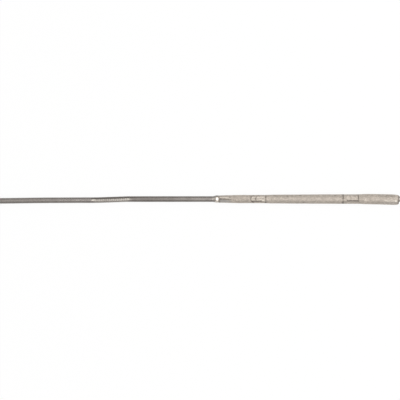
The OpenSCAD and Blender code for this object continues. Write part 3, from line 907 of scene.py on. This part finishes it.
def wear_marks(spots):
    """How dark and how bright each spot of the sleeve is painted, in its own frame: painted shade
    lies in the steps, creases and corners, spots of dirt lie along it and near the tail, and
    painted highlights lie on a few places. All in millimetres and degrees."""
    z = spots[:, 2] / MM
    turn = np.degrees(np.arctan2(spots[:, 1], spots[:, 0]))
    girth = np.hypot(spots[:, 0], spots[:, 1]) / MM * np.radians(1)

    def line(z0, turn0, z1, turn1, width, strength):
        """A mark along a straight line on the unrolled surface."""
        across = (turn - turn0 + 180) % 360 - 180
        run = np.stack([z - z0, across * girth])
        way = np.array([z1 - z0, 0.0])[:, None] + np.zeros_like(run)
        way[1] = ((turn1 - turn0 + 180) % 360 - 180) * girth
        part = np.clip((run * way).sum(0) / (way * way).sum(0), 0, 1)
        off = np.linalg.norm(run - way * part, axis=0)
        return strength * np.exp(-((off / width) ** 2))

    def ring(at, lag, width, strength):
        """A mark along a step round the sleeve, which lags behind at the sleeve's sides."""
        arc = at - lag * np.sin(np.radians(turn)) ** 2
        return strength * np.exp(-(((z - arc) / width) ** 2))

    front, second, rear = (strike[0] / MM for strike in (FRONT_STRIKE, SECOND_STRIKE, REAR_STRIKE))
    long, bow, flat = STRIKE_LENGTH / MM, STRIKE_BOW / MM, FLAT_END / MM
    ahead = 0.22
    # painted shade in the steps, creases and corners, round the flat and at the tail's end; spots
    # of dirt
    found = [
        # the steps at the crimps' ends
        ring(front + ahead, bow, 0.34, 0.85),
        ring(second + ahead, bow, 0.31, 0.9) * (turn > -34),
        ring(front - long + ahead, 0, 0.31, 0.85),
        ring(rear + ahead, 0, 0.6, 0.73),
        ring(rear - long + ahead, 0, 0.36, 0.64) * (turn > -30),
        ring(rear - long + ahead, 0, 0.24, 0.36),
        # the creases and corners along the crimps
        line(front - 0.4, FRONT_CREASE, front - 5.5, FRONT_CREASE, 0.4, 0.95),
        line(front - 5.5, FRONT_CREASE, front - 7.4, -62, 0.3, 0.7),
        line(front - 0.8, 7, front - 6.6, 7, 0.2, 0.55),
        line(rear - 2.0, REAR_CREASE, rear - 8.0, REAR_CREASE, 0.42, 1.0),
        line(rear - 1.0, 38, rear - 8.0, 38, 0.18, 0.5),
        # round the flat at the mouth
        line(flat - 0.2, 3, flat - 6.0, -9, 0.3, 0.8),
        line(flat - 0.2, 1, flat - 3.4, -4, 0.5, 0.85),
        line(flat + 0.2, 15, flat + 0.2, -75, 0.38, 0.85),
        line(flat + 0.3, 52, flat - 3.5, 56, 0.45, 0.5),
        line(flat - 5.5, -7, flat - 15.0, -4, 0.6, 0.37),
        # spots of dirt near the tail, and painted shade at its end
        line(3.6, 40, 6.4, 46, 0.5, 0.62),
        line(2.4, 52, 3.4, 44, 0.35, 0.6),
        line(7.0, 30, 7.4, 36, 0.35, 0.55),
        ring(0.1, 0, 0.5, 0.9),
    ]
    # spots of dirt along the sleeve
    for at, side in ((66, 47), (59.6, 42), (54, -51), (52.7, 52), (51, -47), (33.8, 44)):
        found.append(line(at, side, at - 0.7, side, 0.45, 0.6))
    # painted highlights where light catches the crimps' edges, the top of the flat and the tail
    shiny = [
        line(flat - 0.2, 30, flat - 4.2, 25, 0.4, 0.4),
        line(front - 0.8, 22, front - 2.2, 22, 0.5, 0.3),
        line(front - 0.8, -8, front - 2.2, -8, 0.45, 0.15),
        line(front - 3.4, 22, front - 6.8, 22, 0.5, 0.25),
        line(front - 3.4, -8, front - 5.6, -8, 0.45, 0.15),
        line(front - 6.2, -24, front - 7.4, -30, 0.45, 0.6),
        line(1.3, -16, 7.5, -16, 0.34, 0.4),
        line(1.5, -16, 1.9, -16, 0.4, 1.0),
    ]
    return np.max(found, axis=0), np.max(shiny, axis=0)


def crimp(sleeve, end, length, depth, turn, tube_r, bow=0.0):
    """One strike of a hexagonal crimping tool: six flats that step up at each end. A bowed
    front step runs back down the sides, and is eased by hand."""
    flat_r = tube_r - depth

    def measured():
        """Where the vertices are, how far from the axis, and their stations at the bow."""
        spots = places(sleeve)
        girth = np.hypot(spots[:, 0], spots[:, 1])
        return spots, girth, spots[:, 2] + bow * (spots[:, 1] / girth) ** 2

    for i in range(6):
        out = outwards(turn + 30 + 60 * i)
        spots, girth, front = measured()
        inside = spots @ np.array(out) > 0
        inner = (spots[:, 2] > end - length + CRIMP_STEP) & (front < end - CRIMP_STEP)
        outer = (spots[:, 2] > end - length) & (front < end)
        press(sleeve, inside & inner, out * flat_r, out)
        press(sleeve, inside & outer & ~inner, out * (flat_r + 0.45 * depth), out)
    if bow:
        spots, girth, front = measured()
        pick(sleeve, (abs(front - end + CRIMP_STEP / 2) < 0.45 * MM) & (girth > OUTSIDE_R))
        bpy.ops.mesh.vertices_smooth(factor=0.5, repeat=4)
        close()


def build_fillet(material):
    """The solder ring that seals the sleeve's mouth, with a hollow wiped slope."""
    rise = FILLET_HEIGHT - FILLET_LIP
    hollow = [
        (FILLET_CREST + FILLET_SLOPE * t, FILLET_LIP + rise * (1 - t) ** 1.5)
        for t in np.linspace(0, 1, 14)
    ]
    crest = [
        (0.0, FILLET_HEIGHT - 0.16 * MM), (0.08 * MM, FILLET_HEIGHT - 0.08 * MM),
        (0.2 * MM, FILLET_HEIGHT - 0.03 * MM), (0.4 * MM, FILLET_HEIGHT),
        (1.1 * MM, FILLET_HEIGHT),
    ]
    outline = [(z, ROD_R + h) for z, h in crest + hollow]
    outline += [(FILLET_CREST + FILLET_SLOPE, ROD_R), (0.0, ROD_R), outline[0]]
    fillet = turned("solder_ring", outline, LATHE_SIDES, hollow=True)
    mark(fillet, thin=solder_wear(places(fillet)))
    settle(fillet, AT_SLEEVE @ Matrix.Translation((0, 0, SLEEVE_LENGTH)))
    smooth(fillet, 60)
    dress(fillet, material, "holder", "bright_solder", "solder_fillet")


def solder_wear(spots):
    """How much painted shade each spot of the solder has, which also makes it rougher: none on its
    crest, less along a painted highlight streak on top of its slope, and most at the sleeve, down
    the slope and down the sides."""
    side, station = spots[:, 1], spots[:, 2]
    # a lighter streak on top of the slope: a painted highlight
    wiped = np.exp(-(((side - 0.1 * MM) / (0.6 * MM)) ** 2)) * (spots[:, 0] > 0)
    slope = np.clip((station - 1.35 * MM) / (0.9 * MM), 0, 1) * (1 - 0.5 * wiped)
    at_sleeve = 1 - station / (0.55 * MM)
    one_side = (side / ROD_R - 0.55) / 0.35
    other_side = 0.6 * np.clip((-side / ROD_R - 0.85) / 0.35, 0, 1)
    return np.max([slope, at_sleeve, one_side, other_side], axis=0)


def thread_ridge():
    """A helical ridge with 60 degree flanks, for the spigot's thread, capped at its ends."""
    root, foot = THREAD_R - THREAD_DEPTH - 0.08 * MM, 0.48 * THREAD_PITCH
    only(None)
    bpy.ops.mesh.primitive_circle_add(
        vertices=4, radius=foot, fill_type="NOTHING", rotation=(math.radians(90), 0, 0)
    )
    ridge = bpy.context.object
    ridge.name = "thread"
    bpy.ops.object.transform_apply(location=True, rotation=True, scale=True)
    spots = places(ridge)
    pick(ridge, spots[:, 0] > 0.5 * foot)
    bpy.ops.mesh.bevel(offset=0.1 * THREAD_PITCH, affect="VERTICES")
    close()
    settle(ridge, Matrix.Translation((root, 0, 0)))
    turns = int(SPIGOT_LENGTH / THREAD_PITCH)
    finish_modifier(
        ridge, "SCREW", angle=2 * math.pi, screw_offset=THREAD_PITCH, iterations=turns,
        steps=THREAD_STEPS, render_steps=THREAD_STEPS,
    )
    pick_all(ridge)
    bpy.ops.mesh.fill_holes(sides=8)
    bpy.ops.mesh.select_all(action="SELECT")
    bpy.ops.mesh.normals_make_consistent(inside=False)
    close()
    return ridge


def cut(piece, tool, operation):
    """Joins, intersects or cuts a piece with a tool, which is then removed."""
    finish_modifier(piece, "BOOLEAN", operation=operation, object=tool, solver="EXACT")
    bpy.data.objects.remove(tool)
    pick_all(piece)
    bpy.ops.mesh.remove_doubles(threshold=0.0000005)
    close()


def cylinder(radius, sides, depth, middle, rotation=(0, 0, 0)):
    """A plain bar or prism along local Z, or turned across it."""
    only(None)
    bpy.ops.mesh.primitive_cylinder_add(
        vertices=sides, radius=radius, depth=depth, location=(0, 0, middle), rotation=rotation
    )
    return bpy.context.object


def build_chuck(material):
    """The chuck: boss, hexagon with turned corners, and the threaded spigot."""
    hex_end = BOSS_LENGTH + HEX_LENGTH
    thread_start = hex_end + GROOVE_WIDTH
    spigot_end = hex_end + SPIGOT_LENGTH
    corner_r = HEX_HALF / math.cos(math.radians(30))
    turned_off = (corner_r - HEX_HALF) * math.tan(math.radians(30))
    core_r = THREAD_R - THREAD_DEPTH
    shoulder = BOSS_LENGTH + MM
    outline = [
        (0.0, BOSS_REAR_R - 0.08 * MM), (0.08 * MM, BOSS_REAR_R), (BOSS_LENGTH, BOSS_FRONT_R),
        (shoulder, BOSS_FRONT_R), (shoulder, GROOVE_R), (thread_start - 0.1 * MM, GROOVE_R),
        (thread_start, core_r), (spigot_end - 0.3 * MM, core_r), (spigot_end, core_r - 0.15 * MM),
    ]
    chuck = turned("chuck", outline, LATHE_SIDES)
    hexagon = cylinder(corner_r, 6, HEX_LENGTH, BOSS_LENGTH + HEX_LENGTH / 2)
    bpy.ops.object.transform_apply(location=True)
    outline = [
        (BOSS_LENGTH, HEX_HALF), (BOSS_LENGTH + turned_off, corner_r),
        (hex_end - turned_off, corner_r), (hex_end, HEX_HALF),
    ]
    cut(hexagon, turned("blank", outline, LATHE_SIDES), "INTERSECT")
    finish_modifier(hexagon, "BEVEL", width=0.05 * MM, segments=2, limit_method="ANGLE")
    cut(chuck, hexagon, "UNION")
    thread = thread_ridge()
    thread.location.z = thread_start
    outline = [
        (thread_start - 0.1 * MM, core_r - 0.25 * MM),
        (thread_start + 0.3 * MM, THREAD_R + 0.1 * MM),
        (spigot_end - 0.35 * MM, THREAD_R + 0.1 * MM),
        (spigot_end - 0.05 * MM, core_r - 0.3 * MM),
    ]
    cut(thread, turned("thread_ends", outline, LATHE_SIDES), "INTERSECT")
    cut(chuck, thread, "UNION")
    middle = spigot_end + (MM - COLLET_BORE_DEPTH) / 2
    bore = cylinder(COLLET_BORE_R, ROD_SIDES, COLLET_BORE_DEPTH + MM, middle)
    cut(chuck, bore, "DIFFERENCE")
    pin_hole = cylinder(PIN_R, PIN_SIDES, 4 * HEX_HALF, PIN_AT, (0, math.radians(90), 0))
    cut(chuck, pin_hole, "DIFFERENCE")
    settle(chuck, AT_CHUCK)
    smooth(chuck, 35)
    mark(chuck, rubbed=np.zeros(len(chuck.data.vertices)))
    dress(chuck, material, "holder", "plated_brass", "chuck_body")


def build_pin(material):
    """The pin through the chuck, its ends ground to a low dome below the flats."""
    half = HEX_HALF - PIN_RECESS
    outline = [
        (-half, 0.5 * PIN_R), (-half + 0.03 * MM, 0.8 * PIN_R), (-half + 0.1 * MM, 0.99 * PIN_R),
        (half - 0.1 * MM, 0.99 * PIN_R), (half - 0.03 * MM, 0.8 * PIN_R), (half, 0.5 * PIN_R),
    ]
    pin = turned("lock_pin", outline, PIN_SIDES)
    across = Matrix.Translation((0, 0, PIN_AT))
    settle(pin, AT_CHUCK @ across @ Matrix.Rotation(math.radians(90), 4, "Y"))
    smooth(pin, 50)
    dress(pin, material, "holder", "pin_steel", "cross_pin")


def build_nut(material):
    """The clamping nut, with straight ridges pressed into its grip band."""
    nose_start = NUT_END - NUT_NOSE
    knurl_start = NUT_START + KNURL_EDGE
    knurl_end = nose_start - KNURL_EDGE
    cone = (COLLET_HEAD_R - NUT_HOLE_R) / math.tan(math.radians(30))
    land = NUT_END - 1.2 * MM
    cone_start = land - cone
    thread_end = cone_start - 0.8 * MM
    outline = [
        (NUT_START, NUT_BORE_R + NUT_EDGE), (NUT_START, NUT_R - 0.25 * MM),
        (NUT_START + 0.2 * MM, NUT_R - 0.05 * MM), (NUT_START + 0.28 * MM, NUT_R),
        (knurl_start, NUT_R), (knurl_start + KNURL_LEAD, NUT_R),
        (knurl_end - KNURL_LEAD, NUT_R), (knurl_end, NUT_R),
        (nose_start - 0.05 * MM, NUT_R), (nose_start + 0.05 * MM, NUT_R - 0.02 * MM),
        (NUT_END - NUT_EDGE, NUT_FACE_R + 0.02 * MM), (NUT_END, NUT_FACE_R - NUT_EDGE),
        (NUT_END, NUT_HOLE_R + NUT_EDGE), (NUT_END - NUT_EDGE, NUT_HOLE_R),
        (land, NUT_HOLE_R), (cone_start, COLLET_HEAD_R), (thread_end, COLLET_HEAD_R),
        (thread_end, NUT_BORE_R), (NUT_START + NUT_EDGE, NUT_BORE_R),
        (NUT_START, NUT_BORE_R + NUT_EDGE),
    ]
    nut = turned("knurled_nut", outline, KNURL_RIDGES * 4, hollow=True)
    spots = places(nut)
    turn = np.degrees(np.arctan2(spots[:, 1], spots[:, 0])) / (360 / KNURL_RIDGES)
    out = np.hypot(spots[:, 0], spots[:, 1])
    valley = abs(turn - np.round(turn)) < 0.05
    band = (spots[:, 2] > knurl_start + KNURL_LEAD / 2) & (out > NUT_R - 0.01 * MM)
    band &= spots[:, 2] < knurl_end - KNURL_LEAD / 2
    pick(nut, valley & band)
    ratio = 1 - KNURL_DEPTH / NUT_R
    bpy.ops.transform.resize(value=(ratio, ratio, 1), center_override=(0, 0, 0))
    close()
    mark(nut, rubbed=band & ~valley)
    settle(nut, AT_CHUCK)
    smooth(nut, 28)
    dress(nut, material, "nut", "plated_brass", "clamp_nut")


def wire_route():
    """The wire's centre line in the chuck's frame: stem, eye, neck and wraps."""
    eye_at = WIRE_END - 1.02 * WIRE_R - EYE_R
    stem_swing = math.acos(NECK_R / (NECK_R + EYE_R))
    wrap_swing = math.acos((NECK_R + WRAP_R) / (NECK_R + EYE_R))
    stem_end = eye_at - (NECK_R + EYE_R) * math.sin(stem_swing)
    wrap_start = eye_at - (NECK_R + EYE_R) * math.sin(wrap_swing)
    route = [(0, 0, z) for z in np.linspace(WIRE_START, stem_end - 0.3 * MM, 30)]
    for a in np.linspace(0, stem_swing, 12):
        route.append((0, NECK_R * (1 - math.cos(a)), stem_end + NECK_R * math.sin(a)))
    sweep = stem_swing + math.pi + wrap_swing
    for i in range(1, 72):
        a = stem_swing - sweep * i / 72
        route.append((0, EYE_R * math.cos(a), eye_at - EYE_R * math.sin(a)))
    for t in np.linspace(1, 0, 12):
        a = -math.pi - wrap_swing * t
        route.append((0, -WRAP_R - NECK_R * (1 + math.cos(a)), wrap_start + NECK_R * math.sin(a)))
    for t in np.linspace(0, 1, 40 * WRAP_TURNS + 1)[1:]:
        a = 2 * math.pi * WRAP_TURNS * t**WRAP_CLOSING
        route.append((WRAP_R * math.sin(a), -WRAP_R * math.cos(a), wrap_start - WRAP_LENGTH * t))
    return route, wrap_start


def build_wire(material):
    """The loop: one length of wire, its eye closed by wrapping its end round the stem."""
    route, wrap_start = wire_route()
    line = bpy.data.curves.new("loop_wire", "CURVE")
    line.dimensions = "3D"
    line.bevel_depth = WIRE_R
    line.bevel_resolution = 6
    line.use_fill_caps = True
    spline = line.splines.new("POLY")
    spline.points.add(len(route) - 1)
    for point, spot in zip(spline.points, route):
        point.co = (*spot, 1)
    wire = bpy.data.objects.new("loop_wire", line)
    bpy.context.scene.collection.objects.link(wire)
    only(wire)
    bpy.ops.object.convert(target="MESH")
    wire = bpy.context.object
    tint = (places(wire)[:, 2] - wrap_start + TINT_BEHIND) / TINT_LENGTH
    mark(wire, flamed=tint)
    settle(wire, AT_CHUCK)
    smooth(wire, 50)
    dress(wire, material, "wire", "nichrome_wire", "wire_loop")


# Stage --------------------------------


def white_floor(low):
    """A plain white floor that still takes the part's soft shadow."""
    only(None)
    bpy.ops.mesh.primitive_plane_add(size=FLOOR_SIZE, location=(0, 0, low))
    floor = bpy.context.object
    floor.name = "floor"
    material = bpy.data.materials.new("floor_white")
    material.use_nodes = True
    tree = material.node_tree
    shader = tree.nodes["Principled BSDF"]
    shader.inputs["Base Color"].default_value = (0.9, 0.9, 0.9, 1)
    shader.inputs["Roughness"].default_value = 0.9
    shader.inputs["Specular IOR Level"].default_value = 0.0
    rays = node(tree, "ShaderNodeLightPath").outputs
    seen = added(tree, rays["Is Camera Ray"], rays["Is Glossy Ray"])
    seen = added(tree, seen, rays["Is Transmission Ray"])
    glow = node(tree, "ShaderNodeEmission", {"Color": (1, 1, 1, 1), "Strength": 1.0})
    share = scaled(tree, seen, FLOOR_GLOW)
    blend = node(
        tree, "ShaderNodeMixShader", {0: share, 1: shader.outputs[0], 2: glow.outputs[0]}
    )
    tree.links.new(blend.outputs[0], tree.nodes["Material Output"].inputs["Surface"])
    floor.data.materials.append(material)


def panel_light(name, place, aim, size, radiance):
    """A flat soft panel light, aimed at a point, of a given brightness."""
    light = bpy.data.lights.new(name, "AREA")
    light.shape = "RECTANGLE"
    light.size, light.size_y = size
    light.energy = radiance * math.pi * size[0] * size[1]
    lamp = bpy.data.objects.new(name, light)
    bpy.context.scene.collection.objects.link(lamp)
    lamp.location = place
    lamp.rotation_euler = (Vector(aim) - Vector(place)).to_track_quat("-Z", "Y").to_euler()
    lamp.visible_camera = False


def soft_world():
    """Grey surroundings, darker towards the horizon and towards the loop's end."""
    world = bpy.data.worlds.new("studio")
    bpy.context.scene.world = world
    world.use_nodes = True
    tree = world.node_tree
    direction = node(tree, "ShaderNodeTexCoord").outputs["Generated"]
    parts = node(tree, "ShaderNodeSeparateXYZ", {0: direction}).outputs
    rise = spread(tree, parts["Z"], 0.0, 0.9, 0.5, 0.9)
    side = spread(tree, parts["X"], -0.8, 0.5, 0.72, 1.05)
    far = spread(tree, parts["Y"], -0.9, 0.6, 0.9, 1.04)
    level = scaled(tree, scaled(tree, rise, side), far)
    ground = tree.nodes["Background"]
    tree.links.new(level, ground.inputs["Strength"])
    ground.inputs["Color"].default_value = (1, 0.985, 0.97, 1)


def overhead_camera(centre, distance, frame_width):
    """A long-lens camera straight above, with +Y at the top of its frame."""
    camera = bpy.data.cameras.new("camera")
    camera.lens = camera.sensor_width * distance / frame_width
    camera.clip_start = 0.01
    viewer = bpy.data.objects.new("camera", camera)
    bpy.context.scene.collection.objects.link(viewer)
    viewer.location = centre + Vector((0, 0, distance))
    bpy.context.scene.camera = viewer


plated = plated_brass()
build_rod(drawn_steel())
build_sleeve(swaged_aluminium())
build_fillet(bright_solder())
build_chuck(plated)
build_pin(pin_steel())
build_nut(plated)
build_wire(nichrome_wire())
collet = frame["nodes"]["collet"]
collet.data.materials.clear()
collet.data.materials.append(collet_brass())

overhead_camera(VIEW_MIDDLE, VIEW_DISTANCE, VIEW_WIDTH)
white_floor(cad_box[0][2])
panel_light(
    "overhead", place=(0.36, 0.03, 0.75), aim=(0.36, 0.03, 0), size=(1.1, 1.4), radiance=1.15
)
soft_world()
bpy.context.scene.view_settings.view_transform = "Standard"
